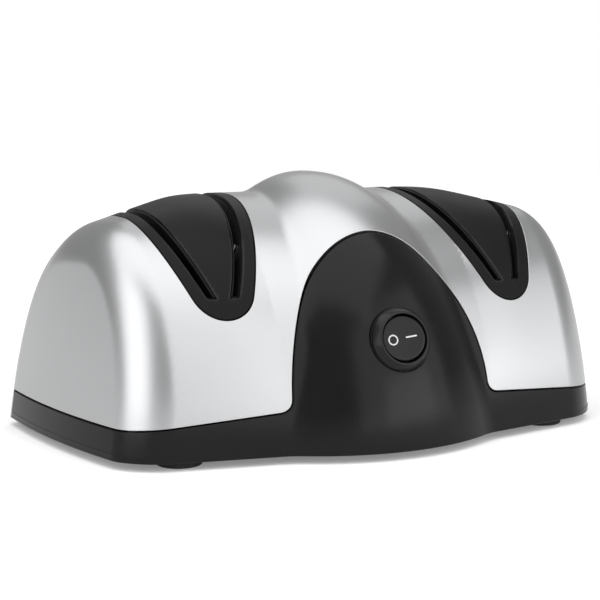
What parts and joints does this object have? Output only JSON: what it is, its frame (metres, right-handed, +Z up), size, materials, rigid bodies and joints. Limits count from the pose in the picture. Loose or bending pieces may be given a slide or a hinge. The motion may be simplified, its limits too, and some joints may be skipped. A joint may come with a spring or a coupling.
{
  "type": "electric knife sharpener",
  "caption": "Countertop electric knife sharpener: silver shell with slotted guides over motor-driven grinding wheels, black base and round rocker switch.",
  "frame": {"origin": "on the worktop, under the centre of the bounding box", "axes": "+X to the right along the length, -Y towards the user, +Z up"},
  "size_m": [0.232, 0.124, 0.1003],
  "materials": {
    "silver": "satin silver paint on plastic",
    "black": "satin black moulded plastic",
    "satin": "satin dark grey-black plastic",
    "rubber": "matt",
    "steel": "zinc-plated or ground",
    "spring": "bright spring strip",
    "core": "laminated electrical steel",
    "copper": "enamelled copper wire",
    "brass": "plain",
    "coarse": "bonded abrasive, coarse grit",
    "fine": "bonded abrasive, fine grit",
    "nylon": "natural nylon",
    "blue": "insulated wire",
    "brown": "insulated wire"
  },
  "bodies": {
    "casing": {"upper_shell": "silver", "lower_housing": "black", "switch_body": "black", "left_guide_insert": "satin", "right_guide_insert": "satin", "left_bearing_bracket": "steel", "right_bearing_bracket": "steel", "stator_core": "core", "coil_bobbin": "nylon", "field_coil": "copper", "left_bearing_bush": "brass", "right_bearing_bush": "brass", "left_switch_terminal": "brass", "right_switch_terminal": "brass", "front_lower_tie_screw": "steel", "front_upper_tie_screw": "steel", "rear_lower_tie_screw": "steel", "rear_upper_tie_screw": "steel", "front_left_case_screw": "steel", "front_left_motor_screw": "steel", "front_left_motor_grommet": "rubber", "front_left_foot": "rubber", "rear_left_case_screw": "steel", "rear_left_motor_screw": "steel", "rear_left_motor_grommet": "rubber", "rear_left_foot": "rubber", "front_right_case_screw": "steel", "front_right_motor_screw": "steel", "front_right_motor_grommet": "rubber", "front_right_foot": "rubber", "rear_right_case_screw": "steel", "rear_right_motor_screw": "steel", "rear_right_motor_grommet": "rubber", "rear_right_foot": "rubber", "cord_gland": "rubber", "live_lead": "brown", "motor_lead": "brown", "neutral_lead": "blue"},
    "rotor": {"motor_shaft": "steel", "rotor_core": "core", "cooling_fan": "nylon", "coarse_grinding_wheel": "coarse", "fine_grinding_wheel": "fine", "left_wheel_collar": "steel", "left_wheel_washer": "steel", "left_wheel_nut": "steel", "right_wheel_collar": "steel", "right_wheel_washer": "steel", "right_wheel_nut": "steel"},
    "rocker": {"switch_rocker": "black"},
    "left_inner_spring": {"left_inner_blade_spring": "spring"},
    "left_outer_spring": {"left_outer_blade_spring": "spring"},
    "right_inner_spring": {"right_inner_blade_spring": "spring"},
    "right_outer_spring": {"right_outer_blade_spring": "spring"}
  },
  "joints": [
    {"name": "rotor_spin", "type": "hinge", "parent": "casing", "child": "rotor", "pos_m": [0, 0.0085, 0.04], "axis": [1, 0, 0], "continuous": true},
    {"name": "rocker_tilt", "type": "hinge", "parent": "casing", "child": "rocker", "pos_m": [0, -0.0532, 0.043], "axis": [0, 0.309, 0.9511], "range_deg": [0, 16]},
    {"name": "left_inner_spring_flex", "type": "hinge", "parent": "casing", "child": "left_inner_spring", "pos_m": [-0.05039, -0.012, 0.0695], "axis": [-0.3907, 0, -0.9205], "range_deg": [0, 1.8], "stiffness_Nm_per_rad": 0.5},
    {"name": "left_outer_spring_flex", "type": "hinge", "parent": "casing", "child": "left_outer_spring", "pos_m": [-0.07061, -0.012, 0.0695], "axis": [-0.3907, 0, 0.9205], "range_deg": [0, 1.8], "stiffness_Nm_per_rad": 0.5},
    {"name": "right_inner_spring_flex", "type": "hinge", "parent": "casing", "child": "right_inner_spring", "pos_m": [0.05039, -0.012, 0.0695], "axis": [-0.3907, 0, 0.9205], "range_deg": [0, 1.8], "stiffness_Nm_per_rad": 0.5},
    {"name": "right_outer_spring_flex", "type": "hinge", "parent": "casing", "child": "right_outer_spring", "pos_m": [0.07061, -0.012, 0.0695], "axis": [-0.3907, 0, -0.9205], "range_deg": [0, 1.8], "stiffness_Nm_per_rad": 0.5}
  ]
}
